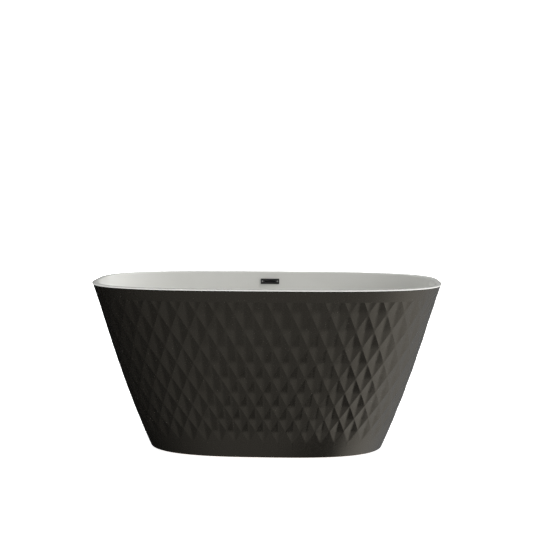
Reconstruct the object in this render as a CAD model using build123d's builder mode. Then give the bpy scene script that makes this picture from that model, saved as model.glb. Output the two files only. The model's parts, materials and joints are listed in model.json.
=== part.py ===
from build123d import *
from math import ceil, copysign, cos, pi, sin
import os

os.makedirs("parts", exist_ok=True)

# Freestanding oval bathtub in millimetres. Origin on the ground under the middle of the tub,
# +X along the length, +Y towards the overflow side, +Z up.

# Overall shape of the outer shell and the rim
LENGTH = 1500.0
WIDTH = 750.0
HEIGHT = 715.0
BASE_LENGTH = 1010.0
BASE_WIDTH = 570.0
RIM_POWER = 3.2
BASE_POWER = 2.9
END_BOW = 13.0
SIDE_BOW = 5.0
BOW_POWER = 1.5
BOW_SCALE = 5.38
SHELL_WALL = 9.0
SHELL_SETBACK = 1.5
SHELL_GROUND_GAP = 3.0
SHELL_SPANS = 6
OUTLINE_POINTS = 48
OVERCUT = 2.0

# Basin
RIM_LEDGE = 25.0
RIM_THICKNESS = 5.0
RIM_OUTER_RADIUS = 1.8
RIM_INNER_RADIUS = 4.0
BOND_THICKNESS = 1.5
BOND_INSET = 1.0
BOND_WIDTH = 3.5
BASIN_WALL = 6.0
FLOOR_HEIGHT = 150.0
WELL_LENGTH = 980.0
WELL_WIDTH = 400.0
WELL_POWER = 2.9
KNEE_RISE = 90.0
KNEE_REACH = 90.0
KNEE_SPANS = 5

# Floor board and skirt base ring
BOARD_LENGTH = 780.0
BOARD_WIDTH = 210.0
BOARD_THICKNESS = 15.0
BOARD_CORNER_RADIUS = 60.0
BOARD_DRAIN_CLEARANCE = 9.0
RING_THICKNESS = 18.0
RING_WIDTH = 45.0
RING_LIFT = 1.0
BOND_CLEARANCE = 0.3

# Welded frame
TUBE_SIZE = 30.0
TUBE_WALL = 2.0
TUBE_CORNER_RADIUS = 3.0
LONG_RAIL_LENGTH = 760.0
LONG_RAIL_SPACING = 170.0
CROSS_RAIL_LENGTH = 380.0
CROSS_RAIL_SPACING = 660.0
PLUG_HEAD = 2.0
PLUG_DEPTH = 12.0
PLUG_CLEARANCE = 0.1
FRAME_SCREW_RADIUS = 2.5
FRAME_SCREW_HEAD_RADIUS = 5.0
FRAME_SCREW_HEAD_HEIGHT = 3.0
FRAME_SCREW_BITE = 10.0
FRAME_SCREW_PITCH = 140.0
FRAME_SCREWS_PER_RAIL = 4
SCREW_HOLE_CLEARANCE = 0.5
PILOT_CLEARANCE = 0.05

# Levelling feet
FOOT_SPACING_Y = 330.0
BOSS_RADIUS = 11.0
BOSS_LENGTH = 25.0
STUD_RADIUS = 6.0
STUD_CLEARANCE = 0.08
STUD_TOP_GAP = 3.0
STUD_TIP_RADIUS = 4.0
STUD_TIP_LENGTH = 7.0
STUD_HEX_RADIUS = 8.0
STUD_HEX_HEIGHT = 7.0
STUD_HEX_LIFT = 1.0
JAM_NUT_RADIUS = 10.4
JAM_NUT_HEIGHT = 7.0
PAD_RADIUS = 23.0
PAD_RIM_HEIGHT = 5.0
PAD_NECK_RADIUS = 11.0
PAD_HEIGHT = 14.0
PAD_EDGE_RADIUS = 1.5

# Drain
DRAIN_HOLE_RADIUS = 26.0
DRAIN_RECESS_RADIUS = 36.0
DRAIN_RECESS_DEPTH = 2.5
FLANGE_RADIUS = 35.0
FLANGE_PROUD = 1.0
FLANGE_NECK_RADIUS = 25.5
FLANGE_NECK_REACH = 2.0
DRAIN_SEAL_THICKNESS = 1.0
FLANGE_MOUTH_RADIUS = 23.5
FLANGE_SEAT_DEPTH = 3.0
DRAIN_TUBE_RADIUS = 23.0
DRAIN_TUBE_BORE = 19.5
DRAIN_TUBE_LENGTH = 46.0
HUB_RADIUS = 11.0
HUB_HEIGHT = 10.0
HUB_DEPTH = 32.0
HUB_RIB_WIDTH = 3.0
HUB_RIBS = 4
HUB_BAND_WALL = 1.5
BOTTOM_SEAL_THICKNESS = 3.0
WASHER_THICKNESS = 1.5
LOCK_NUT_HEIGHT = 9.0
LOCK_NUT_RADIUS = 33.0
LOCK_NUT_LUGS = 6
LOCK_NUT_LUG_RADIUS = 4.0
THREAD_CLEARANCE = 0.08
NUT_GAP = 2.0
TEE_WALL = 4.0
TAIL_NUT_CLEARANCE = 2.5
SIDE_INLET_REACH = 50.0
PIPE_RAIL_CLEARANCE = 5.0
TAIL_RADIUS = 21.0
TAIL_BORE = 18.0
TAIL_SPIGOT_RADIUS = 20.0
TAIL_SHOULDER_GAP = 1.5
TAIL_END_HEIGHT = 25.0
TAIL_ENGAGEMENT = 12.0
SLIP_NUT_WALL = 4.0
SLIP_NUT_HEIGHT = 17.0
SLIP_NUT_LIP = 3.0
SLIP_WASHER_THICKNESS = 2.5
SLIP_NUT_EDGES = 12

# Toe-tap stopper
CAP_RADIUS = 31.0
CAP_GAP = 0.4
CAP_EDGE_THICKNESS = 2.0
CAP_CROWN = 3.5
CAP_BOSS_RADIUS = 17.0
STOPPER_SEAL_RADIUS = 22.5
STOPPER_SEAL_THICKNESS = 3.0
STEM_RADIUS = 4.0
STEM_THREAD_DEPTH = 2.5
STEM_CLEARANCE = 0.06
STEM_END_DEPTH = 40.0
COLLAR_RADIUS = 6.2
COLLAR_HEIGHT = 2.0
COLLAR_DEPTH = 22.0
CARTRIDGE_RADIUS = 8.0
CHAMBER_RADIUS = 6.6
CARTRIDGE_TOP_DEPTH = 6.0
CARTRIDGE_BOTTOM_DEPTH = 36.0
CARTRIDGE_END_WALL = 2.0
SPRING_WIRE_RADIUS = 0.5
SPRING_COIL_RADIUS = 5.3
SPRING_PITCH = 2.0

# Overflow
OVERFLOW_DROP = 46.0
SLOT_LENGTH = 52.0
SLOT_HEIGHT = 10.0
COVER_LENGTH = 86.0
COVER_HEIGHT = 25.0
COVER_THICKNESS = 6.0
COVER_CORNER_RADIUS = 2.0
COVER_EDGE_RADIUS = 1.2
GASKET_THICKNESS = 2.0
GASKET_INSET = 2.0
COVER_SCREW_SPACING = 70.0
COVER_SCREW_RADIUS = 2.0
COVER_SCREW_HEAD_RADIUS = 3.6
COVER_SCREW_HEAD_HEIGHT = 2.4
COVER_SCREW_LENGTH = 20.0
BODY_LENGTH = 80.0
BODY_TOP_RISE = 15.0
BODY_SOCKET_ROOM = 1.95
BODY_WALL = 2.0
BODY_SHELL_CLEARANCE = 2.0
PIPE_RADIUS = 7.0
PIPE_WALL = 1.5
PIPE_SOCKET_WALL = 2.0
PIPE_SOCKET_LENGTH = 26.0
SOCKET_SINK = 6.0
PIPE_ENGAGEMENT = 10.0
PIPE_CORNER_Y = 250.0
PIPE_BEND_RADIUS = 60.0

# Heights and half sizes that follow from the above
SHELL_TOP = HEIGHT - RIM_THICKNESS - BOND_THICKNESS
RIM_BOTTOM = HEIGHT - RIM_THICKNESS
FLOOR_UNDERSIDE = FLOOR_HEIGHT - BASIN_WALL
BOARD_BOTTOM = FLOOR_UNDERSIDE - BOARD_THICKNESS
LONG_RAIL_BOTTOM = BOARD_BOTTOM - TUBE_SIZE
CROSS_RAIL_BOTTOM = LONG_RAIL_BOTTOM - TUBE_SIZE
BOSS_BOTTOM = CROSS_RAIL_BOTTOM - BOSS_LENGTH
JAM_NUT_BOTTOM = BOSS_BOTTOM - JAM_NUT_HEIGHT
LONG_RAIL_Y = LONG_RAIL_SPACING / 2
CROSS_RAIL_X = CROSS_RAIL_SPACING / 2
FOOT_Y = FOOT_SPACING_Y / 2
END_LEAN = (LENGTH / 2 - RIM_LEDGE - WELL_LENGTH / 2) / (HEIGHT - FLOOR_HEIGHT)
SIDE_LEAN = (WIDTH / 2 - RIM_LEDGE - WELL_WIDTH / 2) / (HEIGHT - FLOOR_HEIGHT)
KNEE_HEIGHT = FLOOR_HEIGHT + KNEE_RISE
SIDE_INLET_HEIGHT = LONG_RAIL_BOTTOM - PIPE_RAIL_CLEARANCE - PIPE_RADIUS
SIDE_INLET_RADIUS = PIPE_RADIUS + TEE_WALL
TAIL_NUT_OVERLAP = SLIP_NUT_HEIGHT - SLIP_NUT_LIP - SLIP_WASHER_THICKNESS
TEE_BOTTOM = SIDE_INLET_HEIGHT - SIDE_INLET_RADIUS - TAIL_NUT_CLEARANCE - TAIL_NUT_OVERLAP


def superellipse(half_length, half_width, power):
    """Points round a closed superellipse, evenly spaced in its own angle."""
    points = []
    for step in range(OUTLINE_POINTS):
        angle = 2 * pi * step / OUTLINE_POINTS
        x = half_length * copysign(abs(cos(angle)) ** (2 / power), cos(angle))
        y = half_width * copysign(abs(sin(angle)) ** (2 / power), sin(angle))
        points.append((x, y))
    return points


def shell_outline(height, inset):
    """Half length, half width and power of the shell's outline at a height."""
    rise = height / HEIGHT
    bow = BOW_SCALE * rise * (1 - rise) ** BOW_POWER
    half_length = BASE_LENGTH / 2 + rise * (LENGTH - BASE_LENGTH) / 2 + END_BOW * bow
    half_width = BASE_WIDTH / 2 + rise * (WIDTH - BASE_WIDTH) / 2 + SIDE_BOW * bow
    power = BASE_POWER + rise * (RIM_POWER - BASE_POWER)
    setback = inset + SHELL_SETBACK * rise
    return half_length - setback, half_width - setback, power


def basin_wall_outline(height, wall):
    """Outline of the basin's straight wall at a height, moved outwards by a wall thickness."""
    rise = (height - FLOOR_HEIGHT) / (HEIGHT - FLOOR_HEIGHT)
    half_length = WELL_LENGTH / 2 + END_LEAN * (height - FLOOR_HEIGHT) + wall
    half_width = WELL_WIDTH / 2 + SIDE_LEAN * (height - FLOOR_HEIGHT) + wall
    power = WELL_POWER + rise * (RIM_POWER - WELL_POWER)
    return half_length, half_width, power


def basin_knee_section(share, wall):
    """Height and outline on the curve from the floor (share 0) to the wall (share 1)."""
    floor = FLOOR_HEIGHT - wall
    knee_length, knee_width, knee_power = basin_wall_outline(KNEE_HEIGHT, wall)
    corner_length, corner_width, corner_power = basin_wall_outline(floor, wall)
    flat_length = WELL_LENGTH / 2 - KNEE_REACH
    flat_width = WELL_WIDTH / 2 - KNEE_REACH
    near, middle, far = (1 - share) ** 2, 2 * share * (1 - share), share**2
    height = floor + far * (KNEE_HEIGHT - floor)
    half_length = near * flat_length + middle * corner_length + far * knee_length
    half_width = near * flat_width + middle * corner_width + far * knee_width
    power = corner_power + share * (knee_power - corner_power)
    return height, (half_length, half_width, power)


def shell_heights(bottom, top):
    """Evenly spaced heights for the shell's loft."""
    return [bottom + step * (top - bottom) / SHELL_SPANS for step in range(SHELL_SPANS + 1)]


# Outer shell: a tapering oval wall, open at the top and the bottom
with BuildPart() as outer_shell:
    for height in shell_heights(SHELL_GROUND_GAP, SHELL_TOP):
        with BuildSketch(Plane.XY.offset(height)):
            with BuildLine():
                Spline(*superellipse(*shell_outline(height, 0)), periodic=True)
            make_face()
    loft()
    for height in shell_heights(SHELL_GROUND_GAP - OVERCUT, SHELL_TOP + OVERCUT):
        with BuildSketch(Plane.XY.offset(height)):
            with BuildLine():
                Spline(*superellipse(*shell_outline(height, SHELL_WALL)), periodic=True)
            make_face()
    loft(mode=Mode.SUBTRACT)

# Planes of the overflow: its origin is on the basin's inner face, its Z points into the tub
OVERFLOW_HEIGHT = HEIGHT - OVERFLOW_DROP
OVERFLOW_Y = basin_wall_outline(OVERFLOW_HEIGHT, 0)[1]
overflow_plane = Plane(origin=(0, OVERFLOW_Y, OVERFLOW_HEIGHT), x_dir=(1, 0, 0), z_dir=(0, -1, SIDE_LEAN))
BASIN_WALL_ACROSS = BASIN_WALL / (1 + SIDE_LEAN**2) ** 0.5

# Basin: floor knee, straight leaning wall and a flat rim, with the drain and overflow holes
with BuildPart() as basin:
    for wall, action in ((BASIN_WALL, Mode.ADD), (0, Mode.SUBTRACT)):
        if action == Mode.SUBTRACT:
            with BuildSketch(Plane.XY.offset(RIM_BOTTOM)):
                with BuildLine():
                    Spline(*superellipse(LENGTH / 2, WIDTH / 2, RIM_POWER), periodic=True)
                make_face()
            extrude(amount=RIM_THICKNESS)
        for step in range(KNEE_SPANS + 1):
            height, outline = basin_knee_section(step / KNEE_SPANS, wall)
            with BuildSketch(Plane.XY.offset(height)):
                with BuildLine():
                    Spline(*superellipse(*outline), periodic=True)
                make_face()
        loft(mode=action)
        for height in (KNEE_HEIGHT, HEIGHT):
            with BuildSketch(Plane.XY.offset(height)):
                with BuildLine():
                    Spline(*superellipse(*basin_wall_outline(height, wall)), periodic=True)
                make_face()
        loft(ruled=True, mode=action)
    rim_edges = basin.edges().filter_by_position(Axis.Z, HEIGHT, HEIGHT).sort_by(SortBy.LENGTH)
    fillet(rim_edges[-1], radius=RIM_OUTER_RADIUS)
    fillet(rim_edges[0], radius=RIM_INNER_RADIUS)
    with Locations((0, 0, FLOOR_HEIGHT)):
        CounterBoreHole(DRAIN_HOLE_RADIUS, DRAIN_RECESS_RADIUS, DRAIN_RECESS_DEPTH, depth=2 * BASIN_WALL)
    with BuildSketch(overflow_plane):
        SlotOverall(SLOT_LENGTH, SLOT_HEIGHT)
        with GridLocations(COVER_SCREW_SPACING, 0, 2, 1):
            Circle(COVER_SCREW_RADIUS + SCREW_HOLE_CLEARANCE)
    extrude(amount=2 * BASIN_WALL, both=True, mode=Mode.SUBTRACT)

# Bond bead between the rim and the shell's top edge, set in to leave a shadow line
BEAD_OUTLINES = [shell_outline(SHELL_TOP, BOND_INSET), shell_outline(SHELL_TOP, BOND_INSET + BOND_WIDTH)]
with BuildPart() as rim_bond:
    with BuildSketch(Plane.XY.offset(SHELL_TOP)):
        for outline, action in zip(BEAD_OUTLINES, (Mode.ADD, Mode.SUBTRACT)):
            with BuildLine():
                Spline(*superellipse(*outline), periodic=True)
            make_face(mode=action)
    extrude(amount=BOND_THICKNESS)

# Skirt base ring: a flat plywood ring bonded inside the shell's foot
RING_BOTTOM = SHELL_GROUND_GAP + RING_LIFT
RING_INSET = SHELL_WALL + BOND_CLEARANCE
RING_OUTLINES = [shell_outline(RING_BOTTOM, RING_INSET), shell_outline(RING_BOTTOM, RING_INSET + RING_WIDTH)]
with BuildPart() as skirt_base_ring:
    with BuildSketch(Plane.XY.offset(RING_BOTTOM)):
        for outline, action in zip(RING_OUTLINES, (Mode.ADD, Mode.SUBTRACT)):
            with BuildLine():
                Spline(*superellipse(*outline), periodic=True)
            make_face(mode=action)
    extrude(amount=RING_THICKNESS)

# Floor board: plywood bonded under the basin's flat floor, with room round the drain and screw pilots
with BuildPart() as floor_board:
    with BuildSketch(Plane.XY.offset(BOARD_BOTTOM)):
        RectangleRounded(BOARD_LENGTH, BOARD_WIDTH, BOARD_CORNER_RADIUS)
        Circle(LOCK_NUT_RADIUS + LOCK_NUT_LUG_RADIUS + BOARD_DRAIN_CLEARANCE, mode=Mode.SUBTRACT)
    extrude(amount=BOARD_THICKNESS)
    with BuildSketch(Plane.XY.offset(BOARD_BOTTOM)):
        with GridLocations(FRAME_SCREW_PITCH, LONG_RAIL_SPACING, FRAME_SCREWS_PER_RAIL, 2):
            Circle(FRAME_SCREW_RADIUS + PILOT_CLEARANCE)
    extrude(amount=FRAME_SCREW_BITE, mode=Mode.SUBTRACT)

# Long rails: square steel tubes under the board, drilled for the frame screws
long_rails = {}
for rail_name, rail_y in (("frame_rail_front", -LONG_RAIL_Y), ("frame_rail_back", LONG_RAIL_Y)):
    rail_start = Plane(
        origin=(-LONG_RAIL_LENGTH / 2, rail_y, LONG_RAIL_BOTTOM + TUBE_SIZE / 2),
        x_dir=(0, 1, 0),
        z_dir=(1, 0, 0),
    )
    with BuildPart() as rail:
        with BuildSketch(rail_start):
            RectangleRounded(TUBE_SIZE, TUBE_SIZE, TUBE_CORNER_RADIUS)
            Rectangle(TUBE_SIZE - 2 * TUBE_WALL, TUBE_SIZE - 2 * TUBE_WALL, mode=Mode.SUBTRACT)
        extrude(amount=LONG_RAIL_LENGTH)
        with BuildSketch(Plane.XY.offset(LONG_RAIL_BOTTOM)):
            with Locations((0, rail_y)):
                with GridLocations(FRAME_SCREW_PITCH, 0, FRAME_SCREWS_PER_RAIL, 1):
                    Circle(FRAME_SCREW_RADIUS + SCREW_HOLE_CLEARANCE)
        extrude(amount=TUBE_SIZE, mode=Mode.SUBTRACT)
    long_rails[rail_name] = rail

# Cross rails: welded under the long rails, carrying the feet
cross_rails = {}
for rail_name, rail_x in (("frame_cross_left", -CROSS_RAIL_X), ("frame_cross_right", CROSS_RAIL_X)):
    rail_start = Plane(
        origin=(rail_x, -CROSS_RAIL_LENGTH / 2, CROSS_RAIL_BOTTOM + TUBE_SIZE / 2),
        x_dir=(1, 0, 0),
        z_dir=(0, 1, 0),
    )
    with BuildPart() as rail:
        with BuildSketch(rail_start):
            RectangleRounded(TUBE_SIZE, TUBE_SIZE, TUBE_CORNER_RADIUS)
            Rectangle(TUBE_SIZE - 2 * TUBE_WALL, TUBE_SIZE - 2 * TUBE_WALL, mode=Mode.SUBTRACT)
        extrude(amount=CROSS_RAIL_LENGTH)
    cross_rails[rail_name] = rail

# End plugs: plastic caps in the open ends of all four rails
PLUG_SIZE = TUBE_SIZE - 2 * TUBE_WALL - 2 * PLUG_CLEARANCE
with BuildPart() as rail_end_plugs:
    for side in (-1, 1):
        for rail_y in (-LONG_RAIL_Y, LONG_RAIL_Y):
            plug_plane = Plane(
                origin=(side * LONG_RAIL_LENGTH / 2, rail_y, LONG_RAIL_BOTTOM + TUBE_SIZE / 2),
                x_dir=(0, 1, 0),
                z_dir=(side, 0, 0),
            )
            with BuildSketch(plug_plane):
                RectangleRounded(TUBE_SIZE, TUBE_SIZE, TUBE_CORNER_RADIUS)
            extrude(amount=PLUG_HEAD)
            with BuildSketch(plug_plane):
                Rectangle(PLUG_SIZE, PLUG_SIZE)
            extrude(amount=-PLUG_DEPTH)
        for rail_x in (-CROSS_RAIL_X, CROSS_RAIL_X):
            plug_plane = Plane(
                origin=(rail_x, side * CROSS_RAIL_LENGTH / 2, CROSS_RAIL_BOTTOM + TUBE_SIZE / 2),
                x_dir=(1, 0, 0),
                z_dir=(0, side, 0),
            )
            with BuildSketch(plug_plane):
                RectangleRounded(TUBE_SIZE, TUBE_SIZE, TUBE_CORNER_RADIUS)
            extrude(amount=PLUG_HEAD)
            with BuildSketch(plug_plane):
                Rectangle(PLUG_SIZE, PLUG_SIZE)
            extrude(amount=-PLUG_DEPTH)

# Frame screws: up through the long rails into the board
with BuildPart() as frame_screws:
    with BuildSketch(Plane.XY.offset(LONG_RAIL_BOTTOM)):
        with GridLocations(FRAME_SCREW_PITCH, LONG_RAIL_SPACING, FRAME_SCREWS_PER_RAIL, 2):
            Circle(FRAME_SCREW_HEAD_RADIUS)
    extrude(amount=-FRAME_SCREW_HEAD_HEIGHT)
    fillet(frame_screws.faces().sort_by(Axis.Z)[: 2 * FRAME_SCREWS_PER_RAIL].edges(), FRAME_SCREW_HEAD_HEIGHT / 2)
    with BuildSketch(Plane.XY.offset(LONG_RAIL_BOTTOM)):
        with GridLocations(FRAME_SCREW_PITCH, LONG_RAIL_SPACING, FRAME_SCREWS_PER_RAIL, 2):
            Circle(FRAME_SCREW_RADIUS)
    extrude(amount=TUBE_SIZE + FRAME_SCREW_BITE)

# Foot bosses: threaded sockets welded under the cross rails
with BuildPart() as foot_bosses:
    with BuildSketch(Plane.XY.offset(BOSS_BOTTOM)):
        with GridLocations(CROSS_RAIL_SPACING, FOOT_SPACING_Y, 2, 2):
            Circle(BOSS_RADIUS)
            Circle(STUD_RADIUS + STUD_CLEARANCE, mode=Mode.SUBTRACT)
    extrude(amount=BOSS_LENGTH)

# Jam nuts: tightened up against the bosses
with BuildPart() as jam_nuts:
    with BuildSketch(Plane.XY.offset(JAM_NUT_BOTTOM)):
        with GridLocations(CROSS_RAIL_SPACING, FOOT_SPACING_Y, 2, 2):
            RegularPolygon(JAM_NUT_RADIUS, 6)
            Circle(STUD_RADIUS + STUD_CLEARANCE, mode=Mode.SUBTRACT)
    extrude(amount=JAM_NUT_HEIGHT)

# Levelling feet: each pad takes the tip of its stud, which screws into the boss above
STUD_TIP_BOTTOM = PAD_HEIGHT - STUD_TIP_LENGTH
STUD_BODY_BOTTOM = PAD_HEIGHT + STUD_HEX_LIFT
STUD_TOP = CROSS_RAIL_BOTTOM - STUD_TOP_GAP
foot_places = [(x, y) for x in (-CROSS_RAIL_X, CROSS_RAIL_X) for y in (-FOOT_Y, FOOT_Y)]
foot_studs = {}
foot_pads = {}
for number, (foot_x, foot_y) in enumerate(foot_places, start=1):
    with BuildPart() as stud:
        for bottom, top, radius in (
            (STUD_TIP_BOTTOM, STUD_BODY_BOTTOM, STUD_TIP_RADIUS),
            (STUD_BODY_BOTTOM, STUD_TOP, STUD_RADIUS),
        ):
            with BuildSketch(Plane.XY.offset(bottom)):
                with Locations((foot_x, foot_y)):
                    Circle(radius)
            extrude(amount=top - bottom)
        with BuildSketch(Plane.XY.offset(STUD_BODY_BOTTOM)):
            with Locations((foot_x, foot_y)):
                RegularPolygon(STUD_HEX_RADIUS, 6)
        extrude(amount=STUD_HEX_HEIGHT)
    foot_studs[f"foot_stud_{number}"] = stud
    with BuildPart() as pad:
        with BuildSketch():
            with Locations((foot_x, foot_y)):
                Circle(PAD_RADIUS)
        extrude(amount=PAD_RIM_HEIGHT)
        fillet(pad.edges().group_by(Axis.Z)[-1], PAD_EDGE_RADIUS)
        with BuildSketch(Plane.XY.offset(PAD_RIM_HEIGHT)):
            with Locations((foot_x, foot_y)):
                Circle(PAD_NECK_RADIUS)
        extrude(amount=PAD_HEIGHT - PAD_RIM_HEIGHT)
        with BuildSketch(Plane.XY.offset(STUD_TIP_BOTTOM)):
            with Locations((foot_x, foot_y)):
                Circle(STUD_TIP_RADIUS + STUD_CLEARANCE)
        extrude(amount=STUD_TIP_LENGTH, mode=Mode.SUBTRACT)
    foot_pads[f"foot_pad_{number}"] = pad

# Heights of the drain stack
FLANGE_SEAL_BOTTOM = FLOOR_HEIGHT - DRAIN_RECESS_DEPTH
FLANGE_BOTTOM = FLANGE_SEAL_BOTTOM + DRAIN_SEAL_THICKNESS
FLANGE_TOP = FLOOR_HEIGHT + FLANGE_PROUD
SEAT_HEIGHT = FLOOR_HEIGHT - FLANGE_SEAT_DEPTH
NECK_BOTTOM = FLOOR_UNDERSIDE - FLANGE_NECK_REACH
DRAIN_TUBE_BOTTOM = FLOOR_HEIGHT - DRAIN_TUBE_LENGTH
BOTTOM_SEAL_BOTTOM = FLOOR_UNDERSIDE - BOTTOM_SEAL_THICKNESS
WASHER_BOTTOM = BOTTOM_SEAL_BOTTOM - WASHER_THICKNESS
LOCK_NUT_BOTTOM = WASHER_BOTTOM - LOCK_NUT_HEIGHT
TEE_TOP = LOCK_NUT_BOTTOM - NUT_GAP
TEE_RADIUS = DRAIN_TUBE_RADIUS + TEE_WALL

# Drain flange: dished ring in the floor's recess over a threaded tube
with BuildPart() as drain_flange:
    with BuildSketch(Plane.XZ):
        with BuildLine():
            Polyline(
                (DRAIN_TUBE_BORE, DRAIN_TUBE_BOTTOM),
                (DRAIN_TUBE_RADIUS, DRAIN_TUBE_BOTTOM),
                (DRAIN_TUBE_RADIUS, NECK_BOTTOM),
                (FLANGE_NECK_RADIUS, NECK_BOTTOM),
                (FLANGE_NECK_RADIUS, FLANGE_BOTTOM),
                (FLANGE_RADIUS, FLANGE_BOTTOM),
                (FLANGE_RADIUS, FLOOR_HEIGHT),
                (FLANGE_RADIUS - FLANGE_PROUD, FLANGE_TOP),
                (FLANGE_MOUTH_RADIUS, FLANGE_TOP),
                (FLANGE_MOUTH_RADIUS, SEAT_HEIGHT),
                (DRAIN_TUBE_BORE, SEAT_HEIGHT),
                close=True,
            )
        make_face()
    revolve(axis=Axis.Z)

# Drain spider: band pressed into the tube, with ribs to the hub that holds the stopper's cartridge
with BuildPart() as drain_spider:
    with BuildSketch(Plane.XY.offset(FLOOR_HEIGHT - HUB_DEPTH)):
        Circle(DRAIN_TUBE_BORE)
        Circle(DRAIN_TUBE_BORE - HUB_BAND_WALL, mode=Mode.SUBTRACT)
        with PolarLocations((HUB_RADIUS + DRAIN_TUBE_BORE - HUB_BAND_WALL) / 2, HUB_RIBS):
            Rectangle(DRAIN_TUBE_BORE - HUB_RADIUS, HUB_RIB_WIDTH)
        Circle(HUB_RADIUS)
        Circle(CARTRIDGE_RADIUS, mode=Mode.SUBTRACT)
    extrude(amount=HUB_HEIGHT)

# Drain seals, washer and lug nut, stacked under and over the floor
with BuildPart() as drain_top_seal:
    with BuildSketch(Plane.XY.offset(FLANGE_SEAL_BOTTOM)):
        Circle(FLANGE_RADIUS - DRAIN_SEAL_THICKNESS)
        Circle(DRAIN_HOLE_RADIUS, mode=Mode.SUBTRACT)
    extrude(amount=DRAIN_SEAL_THICKNESS)

with BuildPart() as drain_bottom_seal:
    with BuildSketch(Plane.XY.offset(BOTTOM_SEAL_BOTTOM)):
        Circle(LOCK_NUT_RADIUS)
        Circle(FLANGE_NECK_RADIUS + THREAD_CLEARANCE, mode=Mode.SUBTRACT)
    extrude(amount=BOTTOM_SEAL_THICKNESS)

with BuildPart() as drain_washer:
    with BuildSketch(Plane.XY.offset(WASHER_BOTTOM)):
        Circle(LOCK_NUT_RADIUS)
        Circle(DRAIN_TUBE_RADIUS + THREAD_CLEARANCE, mode=Mode.SUBTRACT)
    extrude(amount=WASHER_THICKNESS)

with BuildPart() as drain_lock_nut:
    with BuildSketch(Plane.XY.offset(LOCK_NUT_BOTTOM)):
        Circle(LOCK_NUT_RADIUS)
        with PolarLocations(LOCK_NUT_RADIUS, LOCK_NUT_LUGS):
            Circle(LOCK_NUT_LUG_RADIUS)
        Circle(DRAIN_TUBE_RADIUS + THREAD_CLEARANCE, mode=Mode.SUBTRACT)
    extrude(amount=LOCK_NUT_HEIGHT)

# Drain tee: plastic body screwed on the drain tube, with a side inlet for the overflow pipe
side_inlet_plane = Plane(origin=(0, 0, SIDE_INLET_HEIGHT), x_dir=(1, 0, 0), z_dir=(0, 1, 0))
with BuildPart() as drain_tee:
    with BuildSketch(Plane.XY.offset(TEE_BOTTOM)):
        Circle(TEE_RADIUS)
    extrude(amount=TEE_TOP - TEE_BOTTOM)
    with BuildSketch(side_inlet_plane):
        Circle(SIDE_INLET_RADIUS)
    extrude(amount=SIDE_INLET_REACH)
    with BuildSketch(side_inlet_plane):
        Circle(PIPE_RADIUS)
    extrude(amount=SIDE_INLET_REACH, mode=Mode.SUBTRACT)
    with BuildSketch(Plane.XY.offset(DRAIN_TUBE_BOTTOM)):
        Circle(DRAIN_TUBE_RADIUS)
    extrude(amount=DRAIN_TUBE_LENGTH, mode=Mode.SUBTRACT)
    with BuildSketch(Plane.XY.offset(TEE_BOTTOM)):
        Circle(TAIL_RADIUS)
    extrude(amount=DRAIN_TUBE_LENGTH, mode=Mode.SUBTRACT)

# Tailpiece: held in the tee by its wide end, with a free spigot below for the trap
TAIL_SHOULDER = TEE_BOTTOM - SLIP_WASHER_THICKNESS - SLIP_NUT_LIP - TAIL_SHOULDER_GAP
with BuildPart() as tailpiece:
    for bottom, top, radius in (
        (TAIL_END_HEIGHT, TAIL_SHOULDER, TAIL_SPIGOT_RADIUS),
        (TAIL_SHOULDER, TEE_BOTTOM + TAIL_ENGAGEMENT, TAIL_RADIUS),
    ):
        with BuildSketch(Plane.XY.offset(bottom)):
            Circle(radius)
            Circle(TAIL_BORE, mode=Mode.SUBTRACT)
        extrude(amount=top - bottom)

# Slip washers and nuts: one pair on the tailpiece, one on the side inlet
slip_joints = (
    (Plane.XY.offset(TEE_BOTTOM), -1, TEE_RADIUS, TAIL_RADIUS),
    (side_inlet_plane.offset(SIDE_INLET_REACH), 1, SIDE_INLET_RADIUS, PIPE_RADIUS),
)
with BuildPart() as slip_washers:
    for plane, way, body_radius, pipe_radius in slip_joints:
        with BuildSketch(plane):
            Circle(body_radius)
            Circle(pipe_radius, mode=Mode.SUBTRACT)
        extrude(amount=way * SLIP_WASHER_THICKNESS)

slip_nuts = {}
for nut_name, (plane, way, body_radius, pipe_radius) in zip(("tail_slip_nut", "inlet_slip_nut"), slip_joints):
    lip_plane = plane.offset(way * SLIP_WASHER_THICKNESS)
    with BuildPart() as nut:
        with BuildSketch(lip_plane):
            RegularPolygon(body_radius + SLIP_NUT_WALL, SLIP_NUT_EDGES)
            Circle(pipe_radius, mode=Mode.SUBTRACT)
        extrude(amount=way * SLIP_NUT_LIP)
        with BuildSketch(lip_plane):
            RegularPolygon(body_radius + SLIP_NUT_WALL, SLIP_NUT_EDGES)
            Circle(body_radius, mode=Mode.SUBTRACT)
        extrude(amount=-way * (SLIP_NUT_HEIGHT - SLIP_NUT_LIP))
    slip_nuts[nut_name] = nut

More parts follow.
